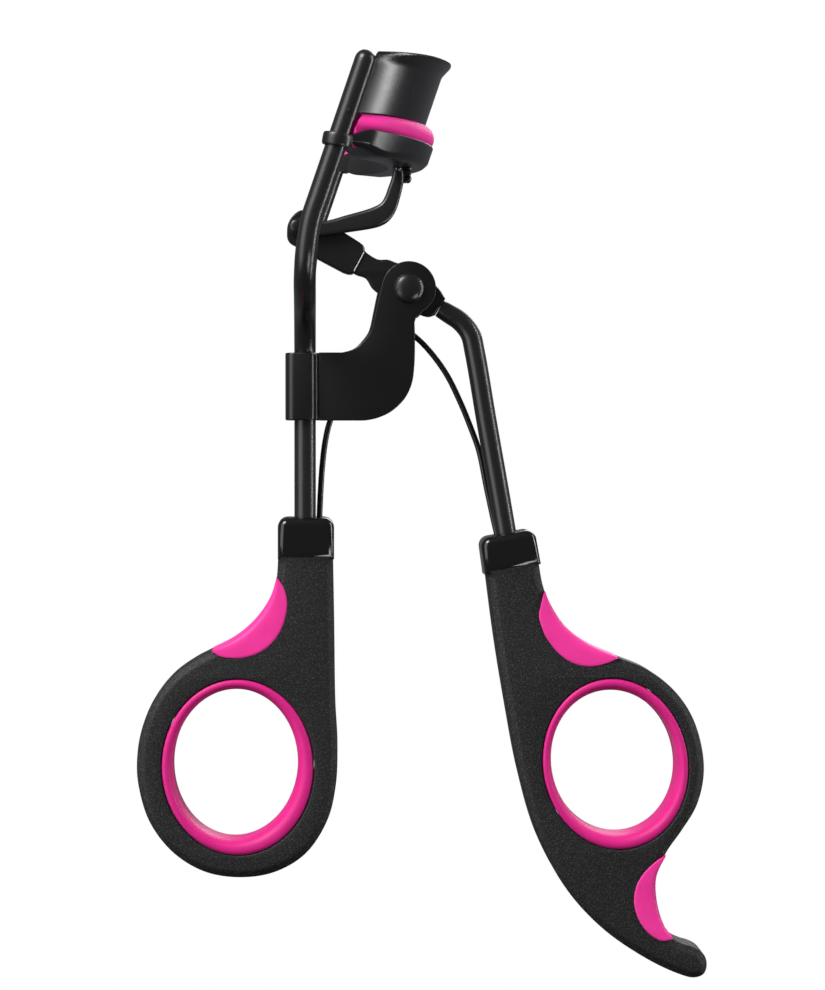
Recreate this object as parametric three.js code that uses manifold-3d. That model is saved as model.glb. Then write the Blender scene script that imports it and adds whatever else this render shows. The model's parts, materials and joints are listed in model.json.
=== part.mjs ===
// Scissor-type eyelash curler with soft finger grips, in millimetres, +Z up, +X towards the lever handle.
// Geometry is drawn with the lever pivot at the origin and the jaws closed; the group is centred at the end.
import * as THREE from "three";
import Module from "manifold-3d";

const wasm = await Module();
wasm.setup();

// ---- driving dimensions -------------------------------------------------------------------------

const ROD_D = 2.65; // round wire of the guide rods and the lever arm
const ROD_R = ROD_D / 2;
const GAP = 0.1; // space left between two fitted pieces

const STEM_X = -13.35; // the two guide rods run side by side here
const STEM_Y = 1.42;
const STEM_FOOT_Z = -34.0;
const SPREAD_Y = 16.5; // half the distance between the rods at the jaws
const BEND_Z = 5.5; // where the rods start to lean
const LEAN = THREE.MathUtils.degToRad(18.85);
const ROD_TOP = 24.45; // along the leaning rods, from the bend
const JAW_DIP = THREE.MathUtils.degToRad(0.6); // the jaws' level, below horizontal

const ARC_CENTRE = -9.18; // ahead of the rod line
const PLATE_T = 0.8;
const PLATE_R = 19.38; // outer face of the upper plate
const PLATE_LOW = 16.28;
const PLATE_HIGH = 23.1;
const LIP_HIGH = 25.05;
const LIP_FLARE = 0.75;

const CHANNEL_IN = 16.35;
const CHANNEL_OUT = 21.35;
const CHANNEL_T = 0.5;
const CHANNEL_LOW = 11.12;
const CHANNEL_HIGH = 14.1;
const EAR_R = 2.05;
const EAR_T = 1.85;
const EAR_MID = 12.62;
const PAD_TOP = PLATE_LOW - GAP;

const HUB_HALF_T = 1.15; // half thickness of the flattened lever
const WASHER_T = 0.35;
const SHEET_T = 0.8; // bracket sheet
const CHEEK_Y = HUB_HALF_T + 2 * GAP + WASHER_T;
const COLLAR_Y = STEM_Y + ROD_R + GAP + SHEET_T;
const PIN_R = 1.1;
const PIN_HOLE_R = 1.22;
const HEAD_R = 1.95;

const LINK_A = [-14.4, 7.9]; // lower pin, on the lever
const LINK_B = [-1.55, 14.8]; // upper pin, under the lower jaw
const LINK_T = 1.2;
const LINK_Y = -(HUB_HALF_T + 2 * GAP + LINK_T / 2);
const LINK_PIN_R = 0.55;
const UPPER_PIN_R = 0.45;
const UPPER_PIN_PLAY = 0.38; // the lug's hole is this much larger all round

const HANDLE_Y = 3.6; // half thickness of the handles
const FERRULE_Y = 3.55;
const GRIP_Y = 3.5;
const SPRING_R = 0.38;

// ---- helpers ------------------------------------------------------------------------------------

/** A closed three.js geometry as a solid. */
function solid(geometry) {
  const flat = geometry.index ? geometry.toNonIndexed() : geometry;
  const position = flat.getAttribute("position");
  const seen = new Map();
  const points = [];
  const faces = [];
  for (let i = 0; i < position.count; i += 3) {
    const corner = [];
    for (let k = i; k < i + 3; k++) {
      const p = [position.getX(k), position.getY(k), position.getZ(k)];
      const key = p.map((c) => Math.round(c * 2e4)).join();
      if (!seen.has(key)) {
        seen.set(key, points.length / 3);
        points.push(...p);
      }
      corner.push(seen.get(key));
    }
    if (new Set(corner).size === 3) faces.push(...corner);
  }
  return new wasm.Manifold(
    new wasm.Mesh({
      numProp: 3,
      vertProperties: new Float32Array(points),
      triVerts: new Uint32Array(faces),
    }),
  );
}

/** A solid as a three.js geometry. */
function geometryOf(made) {
  const mesh = made.getMesh();
  const geometry = new THREE.BufferGeometry();
  geometry.setAttribute("position", new THREE.BufferAttribute(mesh.vertProperties.slice(), 3));
  geometry.setIndex(new THREE.BufferAttribute(mesh.triVerts.slice(), 1));
  geometry.computeVertexNormals();
  return geometry;
}

/** A flat outline in X and Z, extruded between two Y values, with its edges rounded. */
function slab(shape, yLow, yHigh, round = 0, steps = 2, curveSegments = 10) {
  const geometry = new THREE.ExtrudeGeometry(shape, {
    depth: yHigh - yLow - 2 * round,
    bevelEnabled: round > 0,
    bevelThickness: round,
    bevelSize: round,
    bevelOffset: -round,
    bevelSegments: steps,
    curveSegments,
  });
  geometry.rotateX(Math.PI / 2); // the shape's Y becomes Z, and the depth runs towards -Y
  geometry.translate(0, yHigh - round, 0);
  return solid(geometry);
}

/** A smooth closed outline through [x, z] points; each run of points is one spline, and runs meet in corners. */
function outline(...runs) {
  const shape = new THREE.Shape();
  shape.moveTo(...runs[0][0]);
  for (const run of runs) {
    if (run.length === 2) shape.lineTo(...run[1]);
    else shape.splineThru(run.slice(1).map(([x, z]) => new THREE.Vector2(x, z)));
  }
  return shape;
}

function polygon(points) {
  return new THREE.Shape(points.map(([x, z]) => new THREE.Vector2(x, z)));
}

function oval([x, z], rx, rz, tilt) {
  const shape = new THREE.Shape();
  shape.absellipse(x, z, rx, rz, 0, 2 * Math.PI, false, THREE.MathUtils.degToRad(tilt));
  return shape;
}

/** A straight round pin along Y, with an optional radius at each end. */
function pinY([x, z], radius, yLow, yHigh, segments = 32) {
  const geometry = new THREE.CylinderGeometry(radius, radius, yHigh - yLow, segments);
  geometry.translate(x, (yLow + yHigh) / 2, z);
  return solid(geometry);
}

/** A domed rivet head on the side given by the sign, its flat face at Y = base. */
function domeY([x, z], radius, height, base, sign, segments = 28) {
  const profile = [
    [0, 0],
    [radius, 0],
    [radius * 0.98, height * 0.3],
    [radius * 0.8, height * 0.7],
    [radius * 0.45, height * 0.93],
    [0, height],
  ].map(([r, h]) => new THREE.Vector2(r, h));
  const geometry = new THREE.LatheGeometry(profile, segments);
  if (sign < 0) geometry.rotateX(Math.PI);
  geometry.translate(x, base, z);
  return solid(geometry);
}

/** Round wire along a curve. */
function wire(curve, radius, steps, sides = 8) {
  const section = new THREE.Shape();
  section.absarc(0, 0, radius, 0, 2 * Math.PI, false);
  const geometry = new THREE.ExtrudeGeometry(section, {
    steps,
    bevelEnabled: false,
    extrudePath: curve,
    curveSegments: sides,
  });
  return solid(geometry);
}

function curveThrough(points) {
  return new THREE.CatmullRomCurve3(
    points.map((p) => new THREE.Vector3(...p)),
    false,
    "centripetal",
  );
}

function ball(centre, radius) {
  const geometry = new THREE.SphereGeometry(radius, 16, 8);
  geometry.rotateX(Math.PI / 2);
  geometry.translate(...centre);
  return solid(geometry);
}

const group = new THREE.Group();
group.name = "eyelash_curler";

const BLACK = { color: 0x141414, metalness: 0.6, roughness: 0.35 };
const GLOSS = { color: 0x0c0c0c, metalness: 0.1, roughness: 0.12 };
const MATTE = { color: 0x202020, metalness: 0.1, roughness: 0.75 };
const STEEL = { color: 0x8c8f93, metalness: 0.9, roughness: 0.25 };
const PINK = { color: 0xec2f96, metalness: 0.0, roughness: 0.5 };

function add(name, made, look) {
  const mesh = new THREE.Mesh(geometryOf(made), new THREE.MeshStandardMaterial(look));
  mesh.name = name;
  group.add(mesh);
}

// ---- guide rods ---------------------------------------------------------------------------------

const rodDir = [Math.sin(LEAN), Math.cos(LEAN)];

/** A point on the leaning rod line, at a distance from the bend. */
function onRod(along) {
  return [STEM_X + rodDir[0] * along, BEND_Z + rodDir[1] * along];
}

function rodPath(side) {
  const at = (y, [x, z]) => [x, side * y, z];
  return curveThrough([
    at(STEM_Y, [STEM_X, STEM_FOOT_Z]),
    at(STEM_Y, [STEM_X, -22]),
    at(STEM_Y, [STEM_X, -12]),
    at(STEM_Y + 0.12, [STEM_X, -9.3]),
    at(STEM_Y + 1.3, [STEM_X, -6.6]),
    at(5.6, [STEM_X, -3.8]),
    at(11.0, [STEM_X, -1.6]),
    at(14.6, [STEM_X, 0.6]),
    at(16.2, [STEM_X + 0.15, 3.6]),
    at(SPREAD_Y - 0.02, [STEM_X + 0.62, 6.9]),
    at(SPREAD_Y, onRod(3.0)),
    at(SPREAD_Y, onRod(5.5)),
    at(SPREAD_Y, onRod(9)),
    at(SPREAD_Y, onRod(ROD_TOP - ROD_R)),
  ]);
}

function rod(side, radius) {
  const [x, z] = onRod(ROD_TOP - ROD_R);
  return wire(rodPath(side), radius, 44).add(ball([x, side * SPREAD_Y, z], radius * 0.995));
}

const rods = { near: rod(-1, ROD_R), far: rod(1, ROD_R) };
const rodRoom = rod(-1, ROD_R + GAP).add(rod(1, ROD_R + GAP));
add("guide_rod_near", rods.near, BLACK);
add("guide_rod_far", rods.far, BLACK);

// ---- jaws ---------------------------------------------------------------------------------------

// The jaws' arcs lie level while their walls lean with the rods, so a turned ring is sheared into place.
const jawFrame = new THREE.Matrix4()
  .makeBasis(
    new THREE.Vector3(Math.cos(JAW_DIP), 0, -Math.sin(JAW_DIP)),
    new THREE.Vector3(0, 1, 0),
    new THREE.Vector3(rodDir[0], 0, rodDir[1]),
  )
  .setPosition(STEM_X, 0, BEND_Z);

/** Part of a ring turned about the jaws' arc centre: profile of [radius, height], kept where |y| < reach. */
function jawRing(profile, reach, segments = 84) {
  const points = profile.concat([profile[0]]).map(([r, h]) => new THREE.Vector2(r, h));
  const ring = new THREE.LatheGeometry(points, segments, Math.PI / segments);
  ring.rotateX(Math.PI / 2);
  ring.translate(ARC_CENTRE, 0, 0);
  const keep = new THREE.BoxGeometry(40, 2 * reach, 80);
  keep.translate(19.5, 0, 0);
  return { ring: solid(ring), keep: solid(keep) };
}

/** The kept part of the ring, sheared into the jaws' frame. */
function jawPiece(profile, reach, trim = []) {
  const { ring, keep } = jawRing(profile, reach);
  let made = ring.intersect(keep);
  for (const cutter of trim) made = made.subtract(cutter);
  const geometry = geometryOf(made).applyMatrix4(jawFrame);
  return solid(geometry);
}

const plateIn = PLATE_R - PLATE_T;
const upperJaw = jawPiece(
  [
    [plateIn, PLATE_LOW + 0.15],
    [plateIn + 0.15, PLATE_LOW],
    [PLATE_R - 0.2, PLATE_LOW],
    [PLATE_R, PLATE_LOW + 0.2],
    [PLATE_R, PLATE_HIGH],
    [PLATE_R + LIP_FLARE * 0.5, PLATE_HIGH + 0.6],
    [PLATE_R + LIP_FLARE, PLATE_HIGH + 1.45],
    [PLATE_R + LIP_FLARE, LIP_HIGH - 0.35],
    [PLATE_R + LIP_FLARE - 0.35, LIP_HIGH],
    [PLATE_R + LIP_FLARE - 0.85, LIP_HIGH - 0.1],
    [plateIn, PLATE_HIGH + 0.55],
  ],
  15.9,
).subtract(rodRoom);
add("upper_jaw", upperJaw, BLACK);

// Wedges that lower the channel's wall towards its two ends.
const ramp = [-1, 1].map((side) => {
  const shape = polygon([
    [side * 13.2, CHANNEL_HIGH + 1],
    [side * 13.2, CHANNEL_HIGH],
    [side * 15.2, EAR_MID + EAR_T / 2],
    [side * 18.0, EAR_MID + EAR_T / 2],
    [side * 18.0, CHANNEL_HIGH + 1],
  ]);
  const wedge = new THREE.ExtrudeGeometry(shape, { depth: 40, bevelEnabled: false });
  wedge.rotateX(Math.PI / 2);
  wedge.rotateZ(Math.PI / 2);
  return solid(wedge);
});

const channel = jawPiece(
  [
    [CHANNEL_IN + 0.35, CHANNEL_LOW],
    [CHANNEL_OUT - 0.6, CHANNEL_LOW],
    [CHANNEL_OUT - 0.18, CHANNEL_LOW + 0.18],
    [CHANNEL_OUT, CHANNEL_LOW + 0.6],
    [CHANNEL_OUT, CHANNEL_HIGH],
    [CHANNEL_OUT - CHANNEL_T, CHANNEL_HIGH],
    [CHANNEL_OUT - CHANNEL_T, CHANNEL_LOW + CHANNEL_T],
    [CHANNEL_IN + CHANNEL_T, CHANNEL_LOW + CHANNEL_T],
    [CHANNEL_IN + CHANNEL_T, CHANNEL_HIGH],
    [CHANNEL_IN, CHANNEL_HIGH],
    [CHANNEL_IN, CHANNEL_LOW + 0.35],
  ],
  15.6,
  ramp,
);

/** An eyelet around one rod, square to it. */
function ear(side) {
  const geometry = new THREE.CylinderGeometry(EAR_R, EAR_R, EAR_T, 28);
  geometry.rotateX(Math.PI / 2);
  geometry.rotateY(LEAN * 0.55);
  const [x, z] = onRod(EAR_MID);
  geometry.translate(x, side * SPREAD_Y, z);
  return solid(geometry);
}

const lowerJaw = channel.add(ear(-1)).add(ear(1)).subtract(rodRoom);
add("lower_jaw", lowerJaw, BLACK);

const padIn = CHANNEL_IN + CHANNEL_T + GAP;
const padOut = CHANNEL_OUT - CHANNEL_T - GAP;
const padLow = CHANNEL_LOW + CHANNEL_T + GAP;
const lashPad = jawPiece(
  [
    [padIn, padLow],
    [padOut, padLow],
    [padOut, CHANNEL_HIGH + 0.1],
    [padOut + 0.35, CHANNEL_HIGH + 0.35],
    [padOut + 0.1, CHANNEL_HIGH + 1.1],
    [padOut - 0.6, PAD_TOP - 0.45],
    [padOut - 1.5, PAD_TOP],
    [padIn + 1.0, PAD_TOP],
    [padIn + 0.1, PAD_TOP - 0.5],
    [padIn - 0.2, CHANNEL_HIGH + 0.9],
    [padIn - 0.1, CHANNEL_HIGH + 0.3],
    [padIn, CHANNEL_HIGH + 0.1],
  ],
  14.0,
).subtract(rodRoom);
add("lash_pad", lashPad, PINK);

// ---- lug under the lower jaw ----------------------------------------------------------------------

const lugTop = BEND_Z + rodDir[1] * CHANNEL_LOW - 0.35;
const lugShape = polygon([
  [-2.55, lugTop],
  [0.95, lugTop],
  [0.85, 14.8],
  [0.5, 13.6],
  [0.1, 13.3],
  [-2.0, 13.4],
  [-2.55, 14.0],
]);
const rivetSpots = [
  [0.2, 15.05],
  [-0.05, 13.95],
];
let lug = slab(lugShape, -HUB_HALF_T, HUB_HALF_T, 0.2);
for (const spot of rivetSpots) lug = lug.subtract(pinY(spot, 0.25 + GAP, -2, 2, 16));
lug = lug.subtract(pinY(LINK_B, UPPER_PIN_R + UPPER_PIN_PLAY, -3, 3, 24));
add("jaw_lug", lug, BLACK);

rivetSpots.forEach((spot, i) => {
  const rivet = pinY(spot, 0.25, -HUB_HALF_T - 0.3, HUB_HALF_T + 0.3, 16)
    .add(domeY(spot, 0.5, 0.5, -HUB_HALF_T - GAP, -1, 16))
    .add(domeY(spot, 0.5, 0.5, HUB_HALF_T + GAP, 1, 16));
  add(`lug_rivet_${i + 1}`, rivet, BLACK);
});

// ---- link ---------------------------------------------------------------------------------------

const linkLow = LINK_Y - LINK_T / 2;
const linkHigh = LINK_Y + LINK_T / 2;
const linkShape = outline(
  [
    [-14.4, 6.75],
    [-11.1, 6.75],
    [-8.2, 7.24],
    [-3.67, 8.12],
    [-2.54, 8.9],
    [-1.81, 10.03],
    [-1.2, 11.85],
    [-0.78, 13.74],
    [-0.72, 14.9],
    [-1.0, 15.6],
    [-1.6, 15.8],
    [-2.2, 15.5],
    [-2.4, 14.6],
    [-2.8, 12.9],
    [-3.67, 10.96],
    [-4.7, 10.33],
    [-7.9, 9.4],
    [-11.1, 8.6],
    [-14.3, 8.95],
    [-15.2, 8.6],
    [-15.45, 7.85],
    [-15.2, 7.05],
    [-14.4, 6.8],
  ],
);
const link = slab(linkShape, linkLow, linkHigh, 0.3, 2, 2)
  .subtract(pinY(LINK_A, LINK_PIN_R + GAP + 0.02, -4, 4, 24))
  .subtract(pinY(LINK_B, UPPER_PIN_R + GAP, -4, 4, 24));
add("jaw_link", link, BLACK);

/** A rivet through the link and the piece behind it. */
function linkPin(spot, radius, headR) {
  return pinY(spot, radius, linkLow - 0.3, HUB_HALF_T + 0.3, 20)
    .add(domeY(spot, headR, 0.6, linkLow - GAP, -1, 20))
    .add(domeY(spot, headR, 0.6, HUB_HALF_T + GAP, 1, 20));
}
add("link_lower_pin", linkPin(LINK_A, LINK_PIN_R, 1.0), BLACK);
add("link_upper_pin", linkPin(LINK_B, UPPER_PIN_R, 0.72), BLACK);

// ---- lever arm ----------------------------------------------------------------------------------

const armDir = [0.857, -0.515]; // from the pivot towards the handle

/** A point measured along a direction and to its left, from the pivot. */
function along([dx, dz], distance, left) {
  return [dx * distance - dz * left, dz * distance + dx * left];
}

const flatShape = outline(
  [along(armDir, 4.9, 1.4), along(armDir, 3.0, 2.1), [0.3, 2.9], [-1.5, 3.35], [-3.87, 3.78], [-5.11, 4.45], [-5.7, 5.0]],
  [[-5.7, 5.0], [-6.3, 5.95]],
  [[-6.3, 5.95], [-12.4, 9.4]],
  [[-12.4, 9.4], [-13.4, 9.85], [-14.65, 9.5], [-15.3, 8.7], [-15.6, 7.5], [-15.5, 6.4], [-14.6, 5.5]],
  [[-14.6, 5.5], [-8.41, 2.08]],
  [[-8.41, 2.08], [-7.2, 1.9]],
  [[-7.2, 1.9], [-5.52, 1.36], [-4.7, 0.12], [-3.87, -0.6], [-2.2, -1.8], [-0.4, -2.5], along(armDir, 3.0, -2.1),
    along(armDir, 4.9, -1.4)],
  [along(armDir, 4.9, -1.4), along(armDir, 4.9, 1.4)],
);
const armEnd = [12.95, -33.2];
const armPath = curveThrough([
  [4.1 * armDir[0], 0, 4.1 * armDir[1]],
  [5.9 * armDir[0], 0, 5.9 * armDir[1]],
  [6.75, 0, -4.15],
  [8.0, 0, -5.75],
  [8.6, 0, -8.2],
  [10.1, 0, -16.95],
  [11.6, 0, -25.4],
  [armEnd[0], 0, armEnd[1]],
]);
const pivot = [0, 0];
const arm = slab(flatShape, -HUB_HALF_T, HUB_HALF_T, 0.35, 2, 4)
  .add(wire(armPath, ROD_R, 26))
  .subtract(pinY(pivot, PIN_HOLE_R, -3, 3))
  .subtract(pinY(LINK_A, LINK_PIN_R + GAP, -3, 3, 24));
add("lever_arm", arm, BLACK);

// ---- pivot bracket ------------------------------------------------------------------------------

const collarShape = polygon([
  [-11.0, -8.3],
  [-15.3, -8.3],
  [-15.7, -8.5],
  [-15.85, -8.9],
  [-15.85, -16.35],
  [-15.7, -16.75],
  [-15.3, -16.95],
  [-11.0, -16.95],
]);
const cheekShape = outline(
  [[-3.21, 1.14], [-2.15, 2.7], [0, 3.45], [2.42, 2.42], [3.45, 0], [2.7, -2.2], [1.37, -3.4]],
  [[1.37, -3.4], [0.85, -4.0], [0.75, -4.9]],
  [[0.75, -4.9], [0.8, -8.23]],
  [[0.8, -8.23], [0.71, -11.2], [0.31, -12.8], [-1.09, -14.95], [-3.05, -16.16], [-5.23, -16.86]],
  [[-5.23, -16.86], [-5.6, -16.95]],
  [[-5.6, -16.95], [-11.9, -16.95]],
  [[-11.9, -16.95], [-11.9, -8.3]],
  [[-11.9, -8.3], [-8.6, -8.3]],
  [[-8.6, -8.3], [-6.82, -7.54], [-5.77, -6.53], [-4.86, -5.46], [-4.36, -3.4], [-3.79, -0.84], [-3.21, 1.14]],
);
let bracket = slab(collarShape, -COLLAR_Y, COLLAR_Y, 0.4);
for (const side of [-1, 1]) {
  const inner = side * CHEEK_Y;
  const outer = side * (CHEEK_Y + SHEET_T);
  bracket = bracket.add(slab(cheekShape, Math.min(inner, outer), Math.max(inner, outer), 0.22, 2, 5));
}
const leverRoom = new THREE.BoxGeometry(2.4, 2 * CHEEK_Y, 20);
leverRoom.translate(-10.9, 0, -12.6);
const stemRoom = new THREE.BoxGeometry(2 * (ROD_R + GAP), 2 * STEM_Y, 20);
stemRoom.translate(STEM_X, 0, -12.6);
bracket = bracket
  .subtract(rodRoom)
  .subtract(solid(stemRoom))
  .subtract(solid(leverRoom))
  .subtract(pinY(pivot, PIN_HOLE_R, -4, 4));
add("pivot_bracket", bracket, MATTE);

const headBase = CHEEK_Y + SHEET_T + GAP;
const pivotPin = pinY(pivot, PIN_R, -headBase - 0.3, headBase + 0.3)
  .add(domeY(pivot, HEAD_R, 0.95, -headBase, -1))
  .add(domeY(pivot, HEAD_R, 0.95, headBase, 1));
add("pivot_pin", pivotPin, BLACK);

for (const [name, side] of [["near", -1], ["far", 1]]) {
  const inner = side * (HUB_HALF_T + GAP);
  const outer = side * (HUB_HALF_T + GAP + WASHER_T);
  const washer = pinY(pivot, 2.05, Math.min(inner, outer), Math.max(inner, outer))
    .subtract(pinY(pivot, PIN_HOLE_R, -3, 3));
  add(`pivot_washer_${name}`, washer, STEEL);
}

// ---- return spring ------------------------------------------------------------------------------

const springPath = curveThrough([
  [-11.15, 0, -32.8],
  [-11.15, 0, -29.5],
  [-11.1, 0, -26.1],
  [-10.95, 0, -22.5],
  [-10.6, 0, -19.4],
  [-10.05, 0, -17.0],
  [-8.2, 0, -13.0],
  [-6.0, 0, -9.1],
  [-3.9, 0, -5.9],
  [-1.7, 0, -4.5],
  [0.89, 0.05, -6.14],
  [2.87, 0.15, -8.12],
  [4.98, 0.4, -11.03],
  [6.83, 0.9, -14.73],
  [8.15, 1.35, -17.9],
  [9.21, 1.7, -20.8],
  [10.3, 1.85, -26.0],
  [11.5, 1.85, -31.4],
  [12.0, 1.85, -33.2],
]);
const spring = wire(springPath, SPRING_R, 56, 4);
const springRoom = wire(springPath, SPRING_R + GAP, 56, 4);
add("return_spring", spring, BLACK);

// ---- ferrules -----------------------------------------------------------------------------------

const frameFerruleShape = polygon([
  [-9.63, -34.71],
  [-9.63, -30.4],
  [-10.03, -29.66],
  [-10.72, -29.31],
  [-15.77, -29.31],
  [-16.46, -29.66],
  [-16.86, -30.4],
  [-16.86, -34.71],
]);
const frameFerrule = slab(frameFerruleShape, -FERRULE_Y, FERRULE_Y, 0.6)
  .subtract(rodRoom)
  .subtract(springRoom);
add("frame_ferrule", frameFerrule, GLOSS);

const leverFerruleShape = polygon([
  [9.74, -36.69],
  [9.14, -33.08],
  [9.44, -32.23],
  [10.08, -31.74],
  [14.69, -30.95],
  [15.53, -31.19],
  [16.07, -31.89],
  [16.67, -35.4],
]);
const armRoom = wire(armPath, ROD_R + GAP, 26).add(ball([armEnd[0], 0, armEnd[1]], ROD_R + GAP));
const leverFerrule = slab(leverFerruleShape, -FERRULE_Y, FERRULE_Y, 0.6)
  .subtract(armRoom)
  .subtract(springRoom);
add("lever_ferrule", leverFerrule, GLOSS);

// ---- handles and their soft inserts ---------------------------------------------------------------

// A finger ring: its seat in the handle and its hole, each with centre, two radii and tilt in degrees.
const frameRing = { seat: [[-21.98, -61.45], 9.78, 11.32, 2], hole: [[-22.31, -61.13], 8.01, 9.64, -2] };
const leverRing = { seat: [[26.6, -61.22], 9.42, 11.09, 10], hole: [[26.49, -61.05], 8.08, 9.36, 13] };

const frameHandleShape = outline(
    [[-9.75, -34.83], [-16.82, -34.82]],
    [[-16.82, -34.82], [-17.04, -37.37], [-17.87, -39.97], [-19.84, -42.8], [-22.36, -44.94],
      [-25.23, -46.43], [-27.49, -47.61], [-30.25, -49.62], [-32.75, -52.78], [-34.36, -56.82],
      [-34.92, -60.64], [-34.71, -63.87], [-33.29, -68.5], [-30.33, -72.4], [-26.32, -74.89],
      [-21.77, -75.66], [-17.25, -74.99], [-13.3, -72.63], [-10.51, -68.35], [-9.42, -63.83],
      [-9.2, -58.4], [-9.48, -52.68], [-9.61, -43.12], [-9.75, -34.83]],
);
const frameRest = outline(
    [[-16.96, -37.14], [-17.87, -39.97], [-19.84, -42.8], [-22.36, -44.94], [-25.33, -46.49]],
    [[-25.33, -46.49], [-24.29, -47.13], [-22.41, -47.4], [-20.54, -47.18], [-18.66, -46.37],
      [-17.06, -44.77], [-16.13, -42.9], [-15.71, -40.76], [-15.77, -39.68], [-16.17, -38.36],
      [-16.96, -37.14]],
);

const leverHandleShape = outline(
    [[16.7, -35.45], [10.03, -36.84]],
    [[10.03, -36.84], [11.12, -45.07], [12.51, -53.54], [14.21, -62.42], [16.62, -70.62], [20.28, -77.38],
      [24.97, -82.5], [30.61, -86.42], [34.84, -88.45], [36.83, -88.94], [38.06, -88.5], [38.48, -87.48],
      [38.31, -86.32], [37.62, -85.43], [36.57, -84.88], [35.44, -84.53], [34.15, -83.89], [32.98, -82.35],
      [31.97, -79.26], [31.82, -75.87], [33.26, -72.65], [35.12, -70], [37.06, -66.83], [38, -63.23],
      [37.9, -59.68], [36.55, -55.17], [34.17, -51.74], [30.75, -49.06], [26.76, -47.4], [23, -45.71],
      [19.94, -43.31], [18.11, -40.52], [17.21, -38.17], [16.7, -35.45]],
);
const leverUpperRest = outline(
    [[17.43, -38.92], [18.11, -40.52], [19.94, -43.31], [23, -45.71], [26.92, -47.48]],
    [[26.92, -47.48], [25.32, -48.19], [23.27, -48.58], [21.22, -48.19], [19.39, -47.04], [17.71, -44.96],
      [17.03, -43.37], [16.7, -42.13], [16.9, -40.9], [17.43, -38.92]],
);
const leverTailRest = outline(
    [[33.06, -72.99], [31.87, -75.87], [31.99, -79.26], [32.98, -82.35], [34, -83.74]],
    [[34, -83.74], [32.57, -83.99], [30.98, -83.1], [29.69, -81.43], [29, -79.09], [29.26, -77.04],
      [30.14, -75.43], [31.58, -73.98], [33.06, -72.99]],
);

/** A handle with the seats of its ring and its rests cut out. */
function handle(shape, ring, rests) {
  const [centre, rx, rz, tilt] = ring.seat;
  let made = slab(shape, -HANDLE_Y, HANDLE_Y, 0.7, 2, 2);
  made = made.subtract(slab(oval(centre, rx + GAP, rz + GAP, tilt), -9, 9, 0, 1, 26));
  for (const { shape: restShape, away } of rests) {
    const room = slab(restShape, -9, 9, 0, 1, 2);
    for (let turn = 0; turn < 2 * Math.PI; turn += Math.PI / 4) {
      made = made.subtract(room.translate([GAP * Math.cos(turn), 0, GAP * Math.sin(turn)]));
    }
    for (const step of [0.3, 0.6, 0.9]) {
      made = made.subtract(room.translate([step * Math.cos(away), 0, step * Math.sin(away)]));
    }
  }
  const [largest] = made.decompose().sort((a, b) => b.volume() - a.volume());
  return largest;
}

/** The soft ring that lines a finger hole, its inner edges rounded over. */
function ringGrip(ring) {
  const [centre, rx, rz, tilt] = ring.seat;
  const [holeCentre, hx, hz, holeTilt] = ring.hole;
  const round = 1.0;
  let made = slab(oval(centre, rx, rz, tilt), -GRIP_Y, GRIP_Y, 0.5, 2, 24);
  made = made.subtract(slab(oval(holeCentre, hx, hz, holeTilt), -9, 9, 0, 1, 24));
  for (const face of [-GRIP_Y, GRIP_Y]) {
    const wide = oval(holeCentre, hx + round, hz + round, holeTilt);
    made = made.subtract(slab(wide, face - round, face + round, round, 1, 24));
  }
  return made;
}

/** A soft rest at a handle's edge. */
function rest(shape) {
  return slab(shape, -GRIP_Y, GRIP_Y, 0, 1, 2);
}

add("frame_handle", handle(frameHandleShape, frameRing, [{ shape: frameRest, away: 2.25 }]), MATTE);
add("frame_ring_grip", ringGrip(frameRing), PINK);
add("frame_thumb_rest", rest(frameRest), PINK);
add(
  "lever_handle",
  handle(leverHandleShape, leverRing, [
    { shape: leverUpperRest, away: 0.9 },
    { shape: leverTailRest, away: -0.1 },
  ]),
  MATTE,
);
add("lever_ring_grip", ringGrip(leverRing), PINK);
add("lever_upper_rest", rest(leverUpperRest), PINK);
add("lever_tail_rest", rest(leverTailRest), PINK);

// The part's origin is the centre of its bounding box.
const centre = new THREE.Box3().setFromObject(group).getCenter(new THREE.Vector3());
group.position.copy(centre).negate();

export default group;
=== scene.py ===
import json
import math

import bmesh
import bpy
import numpy as np
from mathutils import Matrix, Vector
from mathutils.geometry import tessellate_polygon


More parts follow.
